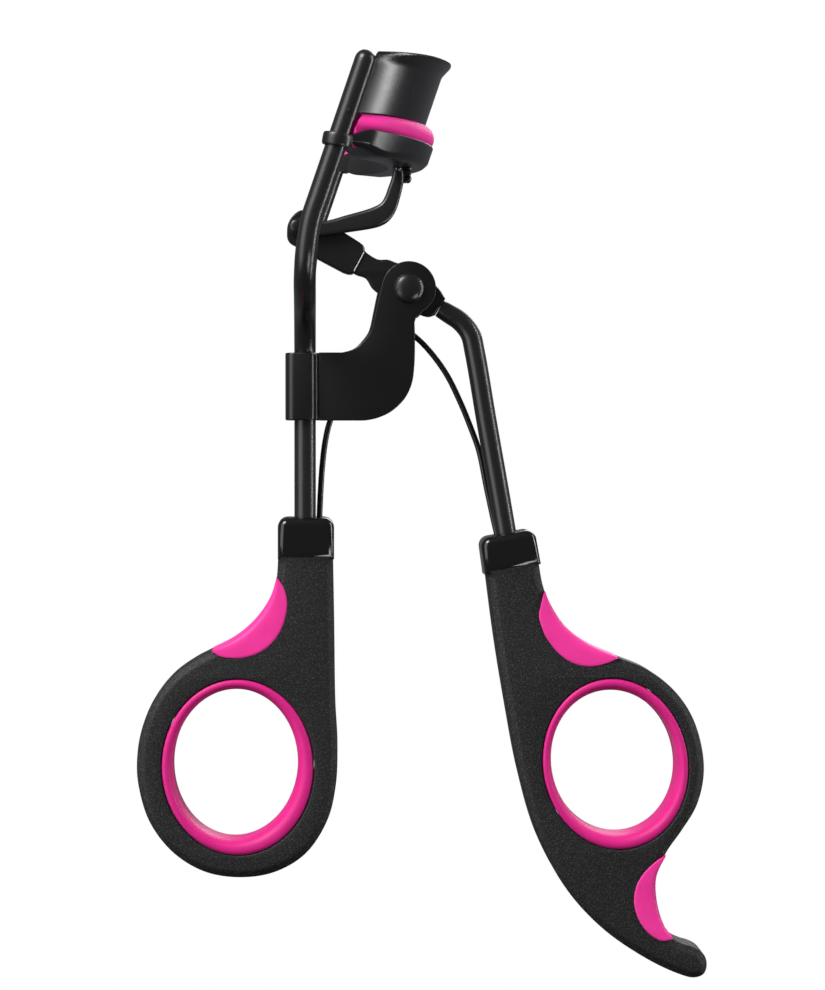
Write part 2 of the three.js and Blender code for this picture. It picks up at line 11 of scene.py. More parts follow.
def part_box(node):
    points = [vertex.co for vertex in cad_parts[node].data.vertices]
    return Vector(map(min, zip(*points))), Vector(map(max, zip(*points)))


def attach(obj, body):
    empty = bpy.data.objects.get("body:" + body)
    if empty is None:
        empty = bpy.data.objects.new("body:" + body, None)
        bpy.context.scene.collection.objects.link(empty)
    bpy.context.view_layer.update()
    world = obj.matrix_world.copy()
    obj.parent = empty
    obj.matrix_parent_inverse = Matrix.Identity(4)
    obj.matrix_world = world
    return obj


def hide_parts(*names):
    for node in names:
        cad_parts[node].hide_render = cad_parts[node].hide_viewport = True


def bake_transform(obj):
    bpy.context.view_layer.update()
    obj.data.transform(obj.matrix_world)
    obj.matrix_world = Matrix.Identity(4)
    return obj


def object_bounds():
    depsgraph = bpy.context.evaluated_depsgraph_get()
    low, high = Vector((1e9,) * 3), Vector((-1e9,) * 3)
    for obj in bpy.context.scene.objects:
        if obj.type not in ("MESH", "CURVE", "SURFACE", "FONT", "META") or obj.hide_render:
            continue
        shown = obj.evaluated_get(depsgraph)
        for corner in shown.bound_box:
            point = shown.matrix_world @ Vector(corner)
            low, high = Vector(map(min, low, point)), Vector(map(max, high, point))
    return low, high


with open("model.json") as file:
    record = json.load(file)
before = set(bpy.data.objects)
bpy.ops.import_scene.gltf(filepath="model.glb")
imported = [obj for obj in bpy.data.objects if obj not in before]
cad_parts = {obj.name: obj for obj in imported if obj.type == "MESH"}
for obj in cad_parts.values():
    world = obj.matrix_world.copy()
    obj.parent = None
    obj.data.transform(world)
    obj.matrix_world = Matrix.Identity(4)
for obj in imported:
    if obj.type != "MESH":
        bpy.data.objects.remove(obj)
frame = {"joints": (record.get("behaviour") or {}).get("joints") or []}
CAD_LO, CAD_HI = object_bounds()

MM = 0.001
JOINTS = {j["name"]: j for j in frame["joints"]}
PIVOT = Vector(JOINTS["lever_open"]["pos_m"])
SIDES = ((-1, "near"), (1, "far"))

# the camera's place in millimetres from the pivot; outlines were measured as seen from here
EYE_X, EYE_Z, DISTANCE = -12.73, -20.13, 380
HANDLE_HALF = 3.6  # half the handles' thickness


def at(x, y, z):
    """A point given in millimetres from the lever's pivot, in the row frame."""
    return Vector((PIVOT.x + x * MM, y * MM, PIVOT.z + z * MM))


def middle(node):
    """The middle of a CAD node's box, in millimetres from the pivot, as (x, y, z)."""
    lo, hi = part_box(node)
    c = (lo + hi) / 2 - Vector((PIVOT.x, 0, PIVOT.z))
    return c.x / MM, c.y / MM, c.z / MM


# ---- materials ------------------------------------------------------------------------------


def shader(name, base, rough, metallic=0.0, coat=0.0, coat_rough=0.1, spec=0.5, sheen=0.0):
    """A principled material; returns (material, node tree, principled node)."""
    mat = bpy.data.materials.new(name)
    mat.use_nodes = True
    tree = mat.node_tree
    node = tree.nodes["Principled BSDF"]
    node.inputs["Base Color"].default_value = (*base, 1)
    node.inputs["Roughness"].default_value = rough
    node.inputs["Metallic"].default_value = metallic
    node.inputs["Coat Weight"].default_value = coat
    node.inputs["Coat Roughness"].default_value = coat_rough
    node.inputs["Specular IOR Level"].default_value = spec
    node.inputs["Sheen Weight"].default_value = sheen
    return mat, tree, node


def noise(tree, scale, detail):
    """Noise in object coordinates, which are metres here; scale is in features per metre."""
    coords = tree.nodes.new("ShaderNodeTexCoord")
    tex = tree.nodes.new("ShaderNodeTexNoise")
    tex.inputs["Scale"].default_value = scale
    tex.inputs["Detail"].default_value = detail
    tree.links.new(coords.outputs["Object"], tex.inputs["Vector"])
    return tex.outputs["Fac"]


def ramp(tree, value, stops):
    """A colour ramp of (position, grey or rgb) stops driven by value."""
    node = tree.nodes.new("ShaderNodeValToRGB")
    elements = node.color_ramp.elements
    while len(elements) < len(stops):
        elements.new(0.5)
    for element, (position, colour) in zip(elements, stops):
        element.position = position
        element.color = (*colour, 1) if isinstance(colour, tuple) else (colour, colour, colour, 1)
    tree.links.new(value, node.inputs["Fac"])
    return node.outputs["Color"]


def bump(tree, node, height, strength, distance):
    """Drives a principled node's normal from a height; distance is in metres."""
    b = tree.nodes.new("ShaderNodeBump")
    b.inputs["Strength"].default_value = strength
    b.inputs["Distance"].default_value = distance
    tree.links.new(height, b.inputs["Height"])
    tree.links.new(b.outputs["Normal"], node.inputs["Normal"])


def coated_metal(name, base, rough, grain=0.12, spec=0.35):
    """Black coating over metal: satin, with a faint orange peel and small changes of gloss."""
    mat, tree, node = shader(name, base, rough, coat=0.2, coat_rough=0.25, spec=spec)
    fine = noise(tree, 2600, 2)
    broad = noise(tree, 180, 3)
    gloss = ramp(tree, broad, [(0.3, rough - 0.015), (0.7, rough + 0.02)])
    tree.links.new(gloss, node.inputs["Roughness"])
    bump(tree, node, fine, grain, 0.00003)
    return mat


def speckled(name):
    """Matte black moulding with a fine sparkling grain."""
    mat, tree, node = shader(name, (0.008, 0.008, 0.008), 0.6, spec=0.22)
    grain = noise(tree, 6500, 3)
    spots = noise(tree, 5600, 2)
    tone = ramp(tree, spots, [(0.30, 0.006), (0.5, 0.0115), (0.62, 0.026), (0.76, 0.075)])
    tree.links.new(tone, node.inputs["Base Color"])
    tree.links.new(ramp(tree, grain, [(0.35, 0.66), (0.65, 0.48)]), node.inputs["Roughness"])
    bump(tree, node, grain, 0.6, 0.00007)
    return mat


def silicone(name, low, high, spec=0.3):
    """Hot pink soft moulding: even colour, soft sheen, a hint of light inside."""
    mat, tree, node = shader(name, high, 0.5, spec=spec, sheen=0.04)
    node.inputs["Subsurface Weight"].default_value = 0.1
    node.inputs["Subsurface Radius"].default_value = (0.0012, 0.0003, 0.0006)
    node.inputs["Subsurface Scale"].default_value = 1.0
    broad = noise(tree, 240, 2)
    tree.links.new(ramp(tree, broad, [(0.3, low), (0.7, high)]), node.inputs["Base Color"])
    bump(tree, node, noise(tree, 4200, 2), 0.2, 0.00003)
    return mat


# the wire parts' black is a little lighter than the sheet parts' to stand in for a broad soft reflection
# on the rods: painted light
METAL = coated_metal("black_metal", (0.0105, 0.0105, 0.0106), 0.33, 0.01)
SHEET = coated_metal("black_sheet", (0.0058, 0.0058, 0.006), 0.36, 0.02, spec=0.28)
JAW = coated_metal("black_jaw", (0.0055, 0.0055, 0.0057), 0.28, 0.02, spec=0.48)
TROUGH = coated_metal("black_trough", (0.006, 0.006, 0.0062), 0.38, 0.02, spec=0.36)
SPRING = coated_metal("black_spring", (0.004, 0.004, 0.004), 0.3)
GLOSS = coated_metal("gloss_black", (0.005, 0.005, 0.005), 0.13, 0.03)
MATTE = speckled("matte_black")
PINK = silicone("pink_silicone", (0.76, 0.028, 0.275), (0.84, 0.036, 0.31))
# the rings are the same pink silicone as the rests, made darker to stand in for shade on them: painted
# shade
PINK_RING_SHADED = silicone("pink_ring_painted_shade", (0.56, 0.010, 0.185), (0.62, 0.014, 0.205), spec=0.24)
# the pad is the same pink silicone as the rests, made brighter to make up for the little light that falls
# on it: painted light
PINK_PAD_LIT = silicone("pink_pad_painted_light", (0.95, 0.034, 0.34), (1.0, 0.042, 0.36), spec=0.1)
PIN = coated_metal("black_pin", (0.012, 0.012, 0.012), 0.2, 0.0, spec=0.7)
# light grey for the thin line along the lever's crease: a painted highlight, not bare metal
HIGHLIGHT_PAINT = shader("painted_crease_highlight", (0.42, 0.42, 0.43), 0.5, metallic=0.3)[0]
STEEL = shader("washer_steel", (0.42, 0.42, 0.43), 0.32, metallic=1.0)[0]

# ---- mesh building --------------------------------------------------------------------------

SHARP = 38  # an edge that turns by more degrees than this is shaded as a sharp one
WELD = 2e-7  # vertices closer than this, in metres, are one
TIP = 0.02  # the smallest share that a radius or an inset shrinks to, so that no vertices meet
GAP = 0.02  # neighbouring points of an outline are at least this far apart, in millimetres
MITRE_LEAST = 0.45  # limits how far a mitred corner reaches
CORNER = 50  # an outline that turns by more degrees than this has a sharp corner there


def make(name, verts, faces, material, body, nodes=(), sharp=SHARP):
    """A closed mesh piece in the row frame that rides on a body and stands for CAD nodes."""
    mesh = bpy.data.meshes.new(name)
    mesh.from_pydata([tuple(v) for v in verts], [], [tuple(f) for f in faces])
    mesh.validate()
    bm = bmesh.new()
    bm.from_mesh(mesh)
    bmesh.ops.remove_doubles(bm, verts=bm.verts, dist=WELD)
    bmesh.ops.recalc_face_normals(bm, faces=bm.faces)
    bm.to_mesh(mesh)
    bm.free()
    mesh.polygons.foreach_set("use_smooth", [True] * len(mesh.polygons))
    mesh.set_sharp_from_angle(angle=math.radians(sharp))
    mesh.materials.append(material)
    piece = bpy.data.objects.new(name, mesh)
    bpy.context.scene.collection.objects.link(piece)
    if body:
        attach(piece, body)
    if nodes:
        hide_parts(*nodes)
    return piece


def strip(a, b, count):
    """Quads between two closed rings of count vertices that start at a and b."""
    return [(a + i, a + (i + 1) % count, b + (i + 1) % count, b + i) for i in range(count)]


def spline(points, step):
    """Dense points along a centripetal curve through points, in two or three dimensions."""
    p = np.array(points, float)
    if len(p) == 2:
        return [p[0], p[1]]
    ends = np.vstack([2 * p[0] - p[1], p, 2 * p[-1] - p[-2]])
    out = []
    for i in range(len(p) - 1):
        q = ends[i : i + 4]
        t = [0.0]
        for k in range(3):
            t.append(t[-1] + max(np.linalg.norm(q[k + 1] - q[k]), 1e-6) ** 0.5)
        n = max(1, round(np.linalg.norm(q[2] - q[1]) / step))
        for s in range(n):
            u = t[1] + (t[2] - t[1]) * s / n
            a1 = (t[1] - u) / (t[1] - t[0]) * q[0] + (u - t[0]) / (t[1] - t[0]) * q[1]
            a2 = (t[2] - u) / (t[2] - t[1]) * q[1] + (u - t[1]) / (t[2] - t[1]) * q[2]
            a3 = (t[3] - u) / (t[3] - t[2]) * q[2] + (u - t[2]) / (t[3] - t[2]) * q[3]
            b1 = (t[2] - u) / (t[2] - t[0]) * a1 + (u - t[0]) / (t[2] - t[0]) * a2
            b2 = (t[3] - u) / (t[3] - t[1]) * a2 + (u - t[1]) / (t[3] - t[1]) * a3
            out.append((t[2] - u) / (t[2] - t[1]) * b1 + (u - t[1]) / (t[2] - t[1]) * b2)
    out.append(p[-1])
    return out


def loop(*runs, step=0.3):
    """A closed outline of [x, z] runs: each run is a smooth curve, and runs meet in corners.
    It comes back anticlockwise, without doubled points."""
    pts = [q for run in runs for q in spline(run, step)]
    kept = [pts[0]]
    for q in pts[1:]:
        if np.linalg.norm(q - kept[-1]) > GAP:
            kept.append(q)
    if np.linalg.norm(kept[0] - kept[-1]) < GAP:
        kept.pop()
    p = np.array(kept)
    n = np.roll(p, -1, 0)
    area = (p[:, 0] * n[:, 1] - n[:, 0] * p[:, 1]).sum() / 2
    return p if area > 0 else p[::-1].copy()


def oval(cx, cz, rx, rz, tilt, n=144):
    """Points of an ellipse whose upright axis leans to the left by tilt degrees."""
    c, d = math.cos(math.radians(tilt)), math.sin(math.radians(tilt))
    t = np.linspace(0, 2 * np.pi, n, endpoint=False)
    u, v = rx * np.cos(t), rz * np.sin(t)
    return np.stack([cx + u * c - v * d, cz + u * d + v * c], 1)


def inset(p, d, keep=0.0):
    """The loop moved inwards by d, with mitred corners.
    With keep, it moves less within that distance of a sharp corner."""
    prev, nxt = np.roll(p, 1, 0), np.roll(p, -1, 0)
    a, b = p - prev, nxt - p
    a /= np.linalg.norm(a, axis=1)[:, None]
    b /= np.linalg.norm(b, axis=1)[:, None]
    t = a + b
    t /= np.maximum(np.linalg.norm(t, axis=1)[:, None], 1e-9)
    normal = np.stack([-t[:, 1], t[:, 0]], 1)
    mitre = 1 / np.clip((t * b).sum(1), MITRE_LEAST, 1)
    share = np.ones(len(p))
    if keep:
        for c in p[(a * b).sum(1) < math.cos(math.radians(CORNER))]:
            share = np.minimum(share, np.clip(np.linalg.norm(p - c, axis=1) / keep, TIP, 1))
    return p + normal * (d * share * mitre)[:, None]


def both_faces(edge):
    """(inset, y) rings of a whole plate from those of its far edge, given from the face inwards."""
    return [(d, -y) for d, y in edge] + [(d, y) for d, y in edge[::-1]]


def rounded(half, r, steps=5):
    """(inset, y) rings of a plate from -half to +half with its edges rounded by r."""
    angles = np.linspace(math.pi / 2, 0, steps + 1)
    return both_faces([(r * (1 - math.cos(a)), half - r * (1 - math.sin(a))) for a in angles])


def upright(u, v, w):
    """Where a plate that stands in X and Z has its outline point (u, v), at y = w."""
    return at(u, w, v)


def plate(name, outer, rings, material, body, nodes=(), holes=(), hole_rings=None, y0=0.0,
          keep=0.0, sharp=SHARP, place=upright):
    """A plate: each loop is swept through (inset, y) rings, and the two faces are filled."""
    verts, faces, flat = [], [], []
    firsts, lasts = [], []
    for points, sign in [(outer, 1.0)] + [(h, -1.0) for h in holes]:
        use = rings if sign > 0 or hole_rings is None else hole_rings
        starts = []
        for d, y in use:
            starts.append(len(verts))
            moved = inset(points, d * sign, keep)
            verts += [place(u, v, y0 + y) for u, v in moved]
            flat += [Vector((u, v, 0)) for u, v in moved]
        for a, b in zip(starts, starts[1:]):
            faces += strip(a, b, len(points))
        firsts.append((starts[0], len(points)))
        lasts.append((starts[-1], len(points)))
    for groups in (firsts, lasts):
        index = [s + i for s, n in groups for i in range(n)]
        polys = [[flat[s + i] for i in range(n)] for s, n in groups]
        faces += [[index[i] for i in tri] for tri in tessellate_polygon(polys)]
    return make(name, verts, faces, material, body, nodes, sharp)


def tube(name, path, radius, material, body, nodes=(), sides=28, caps=(True, True)):
    """A wire along a dense path in millimetres. radius is a number or one per point.
    caps says which of the two ends is domed; the other is flat."""
    p = np.array(path, float)
    r = np.full(len(p), radius, float) if np.isscalar(radius) else np.array(radius, float)
    t = np.gradient(p, axis=0)
    t /= np.linalg.norm(t, axis=1)[:, None]
    rows = []
    u = np.array((0, 1, 0), float)
    for i in range(len(p)):
        u = u - t[i] * (u @ t[i])
        u /= np.linalg.norm(u)
        rows.append((p[i], t[i], u.copy(), r[i]))
    angles = np.linspace(0, math.pi / 2, 6)[1:]

    def dome(row, way, order):
        c, tt, uu, rr = row
        return [(c + way * tt * rr * math.sin(a), tt, uu, rr * max(math.cos(a), TIP)) for a in order]

    head = dome(rows[0], -1, angles[::-1]) if caps[0] else []
    tail = dome(rows[-1], 1, angles) if caps[1] else []
    rows = head + rows + tail
    verts, faces = [], []
    for c, tt, uu, rr in rows:
        across = np.cross(tt, uu)
        for k in range(sides):
            a = 2 * math.pi * k / sides
            verts.append(at(*(c + rr * (math.cos(a) * across + math.sin(a) * uu))))
    for i in range(len(rows) - 1):
        faces += strip(i * sides, (i + 1) * sides, sides)
    faces.append(tuple(range(sides)))
    faces.append(tuple(range((len(rows) - 1) * sides, len(rows) * sides)))
    return make(name, verts, faces, material, body, nodes)


def lathe(name, centre, profile, material, body, nodes=(), sides=48, closed=False):
    """A turned piece about an axis along Y: profile of (radius, y)."""
    verts, faces = [], []
    for r, y in profile:
        for k in range(sides):
            a = 2 * math.pi * k / sides
            verts.append(at(centre[0] + r * math.cos(a), y, centre[1] + r * math.sin(a)))
    rows = len(profile)
    for i in range(rows if closed else rows - 1):
        faces += strip(i * sides, (i + 1) % rows * sides, sides)
    if not closed:
        faces.append(tuple(range(sides))[::-1])
        faces.append(tuple(range((rows - 1) * sides, rows * sides)))
    return make(name, verts, faces, material, body, nodes)


def rivet(radius, height, low, high, shank):
    """The profile of a rivet with a domed head at each end."""
    dome = [(TIP, 1.0), (0.3, 0.96), (0.55, 0.86), (0.76, 0.68), (0.9, 0.45), (0.98, 0.2), (1.0, 0.0)]
    head = [(radius * r, low - height * h) for r, h in dome]
    foot = [(radius * r, high + height * h) for r, h in dome[::-1]]
    return head + [(shank, low), (shank, high)] + foot


# ---- guide rods -----------------------------------------------------------------------------

ROD = 1.325  # the wire's radius
STEM_X = -13.35
STEM_HALF = 1.42  # half the distance between the two wires in the stem
STEM_EXTRA, STEM_FADE = 0.06, 6  # the wires are fuller below the pivot, fading out by this height above it
LEAN = math.asin(-JOINTS["jaw_slide"]["axis"][0])
W = np.array([math.sin(LEAN), math.cos(LEAN)])  # the direction that the jaws slide in
BEND_Z = 5.5
SPREAD = 16.5  # half the distance between the two rods at the jaws
WELD_HEIGHT = 16.43


def on_rod(d):
    """(x, z) on the leaning part of the rods, d above the bend."""
    return STEM_X + W[0] * d, BEND_Z + W[1] * d


def rod_path(side):
    """Up the stem, outwards above the bracket, and up the lean to the rod's tip."""
    stem = [(STEM_HALF, -34), (STEM_HALF, -22), (STEM_HALF, -12), (1.54, -9.3), (2.72, -6.6),
            (5.6, -3.8), (11.0, -1.6), (14.6, 0.6)]
    pts = [(STEM_X, y * side, z) for y, z in stem]
    pts += [(STEM_X + 0.15, 16.2 * side, 3.6), (STEM_X + 0.62, 16.48 * side, 6.9)]
    for d in (3.0, 5.5, 9, 13, 18, 23.1):
        x, z = on_rod(d)
        pts.append((x, SPREAD * side, z))
    return spline(pts, 0.45)


for side, label in SIDES:
    path = rod_path(side)
    radii = [ROD + STEM_EXTRA * min(1, max(0, (STEM_FADE - p[2]) / STEM_FADE)) for p in path]
    tube(f"rod_{label}", path, radii, METAL, "frame", [f"guide_rod_{label}"],
         caps=(False, True))
    x, z = on_rod(WELD_HEIGHT)
    spot = [(0.3, side * (SPREAD + 1.22)), (0.24, side * (SPREAD + 1.42)), (0.05, side * (SPREAD + 1.47))]
    lathe(f"weld_spot_{label}", (x + 0.12, z), spot, METAL, "frame", sides=16)

# ---- jaws -----------------------------------------------------------------------------------

ARC_C = -9.18  # the centre of the jaws' arc, in X from the stem
DIP = math.radians(0.6)  # the jaws' plane drops this much towards the bulge
JAW_STEPS = 96
SCOOP_MID, SCOOP_HALF = 18.9, 1.6  # the pad's scooped ends: middle radius and half the width
SCOOP_FROM, SCOOP_TO = 44, 58
PLATE_R, PLATE_T, PLATE_LOW, PLATE_HIGH, LIP_HIGH = 19.38, 0.8, 16.28, 23.1, 24.95
CH_IN, CH_OUT, CH_LOW, CH_HIGH = 16.35, 21.4, 10.88, 14.12
CH_WALL, CH_FLOOR = 0.5, 0.75
EAR_MID, EAR_HALF = 12.68, 0.8  # the eyelets' height along the rods, and half their thickness
EAR_R, EAR_WIDE, EAR_FULL = 1.66, 0.29, 0.6  # mean radius, half the ring's width, section's fullness
EAR_LEAN = 0.55  # the eyelets lean by this share of the rods' lean


def jaw_at(r, phi, c):
    """A point on the jaws' arc: radius, angle from the bulge, and height along the rods."""
    a = ARC_C + r * math.cos(phi)
    return at(STEM_X + a * math.cos(DIP) + c * W[0], r * math.sin(phi),
              BEND_Z - a * math.sin(DIP) + c * W[1])


def fade(phi, start, end):
    """0 along the jaw, rising to 1 at its two ends; start and end in degrees."""
    s = min(1, max(0, (abs(math.degrees(phi)) - start) / (end - start)))
    return s * s * (3 - 2 * s)


def turned(phi):
    """0 at the bulge of the jaws, 1 about where the rods stand."""
    return (1 - math.cos(phi)) / 0.41


def jaw_sweep(name, profile, reach, material, body, nodes, scoop=0.0):
    """Sweeps a closed profile of (radius, height) round the arc; profile is a function of the angle.
    reach is in degrees. The ends can be scooped out, by an angle, where they face the rods."""
    verts, faces = [], []
    reach = math.radians(reach)
    for phi in np.linspace(-reach, reach, JAW_STEPS + 1):
        ring = profile(phi)
        n = len(ring)
        cut = scoop * fade(phi, SCOOP_FROM, SCOOP_TO)
        for r, c in ring:
            back = cut * max(0, 1 - ((r - SCOOP_MID) / SCOOP_HALF) ** 2)
            verts.append(jaw_at(r, phi - math.copysign(back, phi), c))
    for i in range(JAW_STEPS):
        faces += strip(i * n, (i + 1) * n, n)
    faces.append(tuple(range(n))[::-1])
    faces.append(tuple(range(JAW_STEPS * n, (JAW_STEPS + 1) * n)))
    return make(name, verts, faces, material, body, nodes, sharp=40)


def smooth_ring(points, step):
    """A closed profile with its corners rounded, each from step before it to step behind it."""
    p = [np.array(q, float) for q in points]
    out = []
    for i, q in enumerate(p):
        a, b = p[i - 1], p[(i + 1) % len(p)]
        ra = q + (a - q) * min(0.5, step / np.linalg.norm(a - q))
        rb = q + (b - q) * min(0.5, step / np.linalg.norm(b - q))
        for u in (0, 0.33, 0.67, 1):
            out.append(tuple((1 - u) ** 2 * ra + 2 * u * (1 - u) * q + u * u * rb))
    return out


def plate_profile(phi):
    """The upper jaw: an upright plate with a lip that flares outwards, less so towards the rods."""
    q = turned(phi)
    high = PLATE_HIGH - 0.2 * q
    lip = LIP_HIGH - 0.08 - 0.5 * q**1.5
    flare = 1 - 0.45 * q**3
    rise = lip - high
    return smooth_ring([
        (PLATE_R - 0.06, PLATE_LOW), (PLATE_R, PLATE_LOW + 0.15), (PLATE_R, PLATE_LOW + 2.4),
        (PLATE_R, PLATE_LOW + 4.4), (PLATE_R, high - 0.12),
        (PLATE_R + 0.12 * flare, high + 0.14 * rise), (PLATE_R + 0.42 * flare, high + 0.45 * rise),
        (PLATE_R + 0.72 * flare, high + 0.74 * rise), (PLATE_R + 0.70 * flare, lip - 0.2),
        (PLATE_R + 0.5 * flare, lip), (PLATE_R + 0.12 * flare, lip), (PLATE_R - 0.16, lip - 0.2),
        (PLATE_R - 0.42, high + 0.5 * rise), (PLATE_R - 0.72, high + 0.1 * rise),
        (PLATE_R - PLATE_T, high - 0.3), (PLATE_R - PLATE_T, PLATE_LOW + 3.6),
        (PLATE_R - PLATE_T, PLATE_LOW + 0.15), (PLATE_R - 0.72, PLATE_LOW),
    ], 0.14)


def wall_top(phi):
    """The height of the channel's walls, which dip at the bulge."""
    return CH_HIGH - 0.7 * max(0, 1 - turned(phi))


def channel_profile(phi):
    """The lower jaw: a trough that narrows to the eyelets' height at its two ends."""
    end = fade(phi, 52, 59)
    top = wall_top(phi) * (1 - end) + (EAR_MID + 0.72) * end
    low = CH_LOW - 0.2 * max(0, 1 - turned(phi))
    low += (EAR_MID - EAR_HALF - low) * fade(phi, 40, 57)
    out = CH_OUT - 1.1 * fade(phi, 50, 60)
    inn = CH_IN + 1.0 * fade(phi, 48, 60)
    return smooth_ring([
        (inn + 0.1, low), (out - 0.45, low), (out, low + 0.6), (out, (low + top) / 2), (out, top),
        (out - CH_WALL, top), (out - CH_WALL, low + CH_FLOOR), (inn + CH_WALL, low + CH_FLOOR),
        (inn + CH_WALL, top), (inn, top),
    ], 0.2)


def pad_profile(phi):
    """The lash pad: it fills the channel and bulges over the outer wall, less so at the ends."""
    lo, hi = CH_IN + 0.6, CH_OUT - 0.6
    top = PLATE_LOW - 0.04
    wall = wall_top(phi)
    rise = top - wall
    squeeze = 1 - 0.5 * fade(phi, 46, 58)
    lo += 0.5 * (1 - squeeze)
    hi -= 0.9 * (1 - squeeze)
    return smooth_ring([
        (lo, CH_LOW + 0.9), (hi, CH_LOW + 0.9), (hi, wall - 0.1),
        (hi + 0.32 * squeeze, wall + 0.08 * rise), (hi + 0.42 * squeeze, wall + 0.26 * rise),
        (hi + 0.2 * squeeze, wall + 0.55 * rise), (hi - 0.4, wall + 0.84 * rise), (hi - 1.3, top),
        (lo + 0.9, top), (lo + 0.15, top - 0.4), (lo - 0.25, wall + 0.4 * rise),
        (lo - 0.2, wall + 0.1 * rise), (lo, wall - 0.1),
    ], 0.4)


def eyelet(name, side):
    """A ring of rounded square section about a rod."""
    verts, faces = [], []
    ex, ez = on_rod(EAR_MID)
    tilt = LEAN * EAR_LEAN
    turns, sides = 40, 16
    for i in range(turns):
        a = 2 * math.pi * i / turns
        for k in range(sides):
            b = 2 * math.pi * k / sides
            r = EAR_R + EAR_WIDE * math.copysign(abs(math.cos(b)) ** EAR_FULL, math.cos(b))
            h = EAR_HALF * math.copysign(abs(math.sin(b)) ** EAR_FULL, math.sin(b))
            x, y = r * math.cos(a), r * math.sin(a)
            verts.append(at(ex + x * math.cos(tilt) + h * math.sin(tilt), side * SPREAD + y,
                            ez - x * math.sin(tilt) + h * math.cos(tilt)))
    for i in range(turns):
        faces += strip(i * sides, (i + 1) % turns * sides, sides)
    return make(name, verts, faces, TROUGH, "jaw")


jaw_sweep("upper_plate", plate_profile, 57.5, JAW, "frame", ["upper_jaw"])
jaw_sweep("lower_channel", channel_profile, 59, TROUGH, "jaw", ["lower_jaw"])
for side, label in SIDES:
    eyelet(f"ear_{label}", side)
jaw_sweep("pad", pad_profile, 58, PINK_PAD_LIT, "jaw", ["lash_pad"],
          scoop=math.radians(3.2))

# ---- lug, link and their rivets -------------------------------------------------------------

LUG_TOP = BEND_Z + W[1] * CH_LOW + 0.1
LUG_HALF = 1.15
LINK_Y = middle("jaw_link")[1]
LINK_HALF = 0.6

lug = loop(
    [[0.45, LUG_TOP], [-2.05, LUG_TOP]], [[-2.05, LUG_TOP], [-2.05, 14.6]],
    [[-2.05, 14.6], [-1.85, 14.1], [-1.35, 13.85], [-0.7, 13.72], [-0.15, 13.78], [0.12, 14.1],
     [0.4, 15.0]],
    [[0.4, 15.0], [0.45, LUG_TOP]], step=0.2)
plate("lug", lug, rounded(LUG_HALF, 0.25, 4), METAL, "jaw", ["jaw_lug"])
for label, spot, r in (("1", (0.05, 15.6), 0.46), ("2", (-0.04, 14.16), 0.42)):
    lathe(f"rivet_{label}", spot, rivet(r, 0.32, -LUG_HALF, LUG_HALF, 0.25), PIN, "jaw",
          [f"lug_rivet_{label}"], sides=28)

link = loop(
    [[-14.4, 6.72], [-11.1, 6.68], [-8.2, 7.1], [-3.62, 7.97], [-2.45, 8.76], [-1.68, 9.93],
     [-1.15, 11.55], [-0.7, 13.55], [-0.66, 14.7], [-0.85, 15.5], [-1.35, 15.8], [-1.9, 15.5],
     [-2.08, 14.9], [-2.32, 13.9], [-2.68, 12.9], [-3.12, 11.7], [-3.62, 10.95], [-4.7, 10.36],
     [-7.9, 9.4], [-11.1, 8.6], [-14.3, 8.95], [-15.15, 8.6], [-15.4, 7.85], [-15.15, 7.05],
     [-14.4, 6.75]], step=0.25)
plate("link", link, rounded(LINK_HALF, 0.5, 7), METAL, "link", ["jaw_link"], y0=LINK_Y)
lathe("upper_pin", (-1.42, 15.3), rivet(0.52, 0.55, LINK_Y - LINK_HALF, 1.2, 0.4), PIN,
      "link", ["link_upper_pin"], sides=32)
x, _, z = middle("link_lower_pin")
lathe("lower_pin", (x, z), rivet(0.95, 0.35, LINK_Y - LINK_HALF, 1.2, 0.5), SHEET,
      "lever", ["link_lower_pin"], sides=32)

# ---- lever arm ------------------------------------------------------------------------------

BLOCK_HALF = 1.25  # half the thickness of the flattened sleeve
HIGHLIGHT_Y = 1.13  # where the painted highlight runs along the sleeve's chamfer
NECK, NECK_POINTS = 0.16, 2.5  # the wire is thinner where it leaves the hub, fading out in so many points

block = loop(
    [[-7.2, 1.9], [-7.75, 1.88], [-8.41, 2.08]],
    [[-8.41, 2.08], [-11.72, 3.84], [-14.6, 5.5]],
    [[-14.6, 5.5], [-15.3, 5.95], [-15.62, 6.5], [-15.66, 7.3], [-15.6, 8.0], [-15.3, 8.8],
     [-14.65, 9.6], [-13.9, 10.05], [-13.2, 9.98], [-12.4, 9.55]],
    [[-12.4, 9.55], [-8.2, 7.14], [-6.3, 5.95]],
    [[-6.3, 5.95], [-5.8, 5.5], [-5.62, 5.05], [-5.73, 4.7]],
    [[-5.73, 4.7], [-7.2, 1.9]], step=0.2)
plate("lever_block", block, both_faces([(0.2, BLOCK_HALF), (0.0, 1.07)]), SHEET, "lever")
for side, label in SIDES:
    # a thin light grey line along the sleeve's chamfer: a painted highlight where the crease between the
    # sleeve and the hub catches the light
    highlight_path = spline([(-5.78, side * HIGHLIGHT_Y, 4.6), (-6.42, side * HIGHLIGHT_Y, 3.4),
                        (-7.02, side * HIGHLIGHT_Y, 2.25)], 0.3)
    tube(f"crease_highlight_{label}", highlight_path, 0.085, HIGHLIGHT_PAINT, "lever", sides=10)
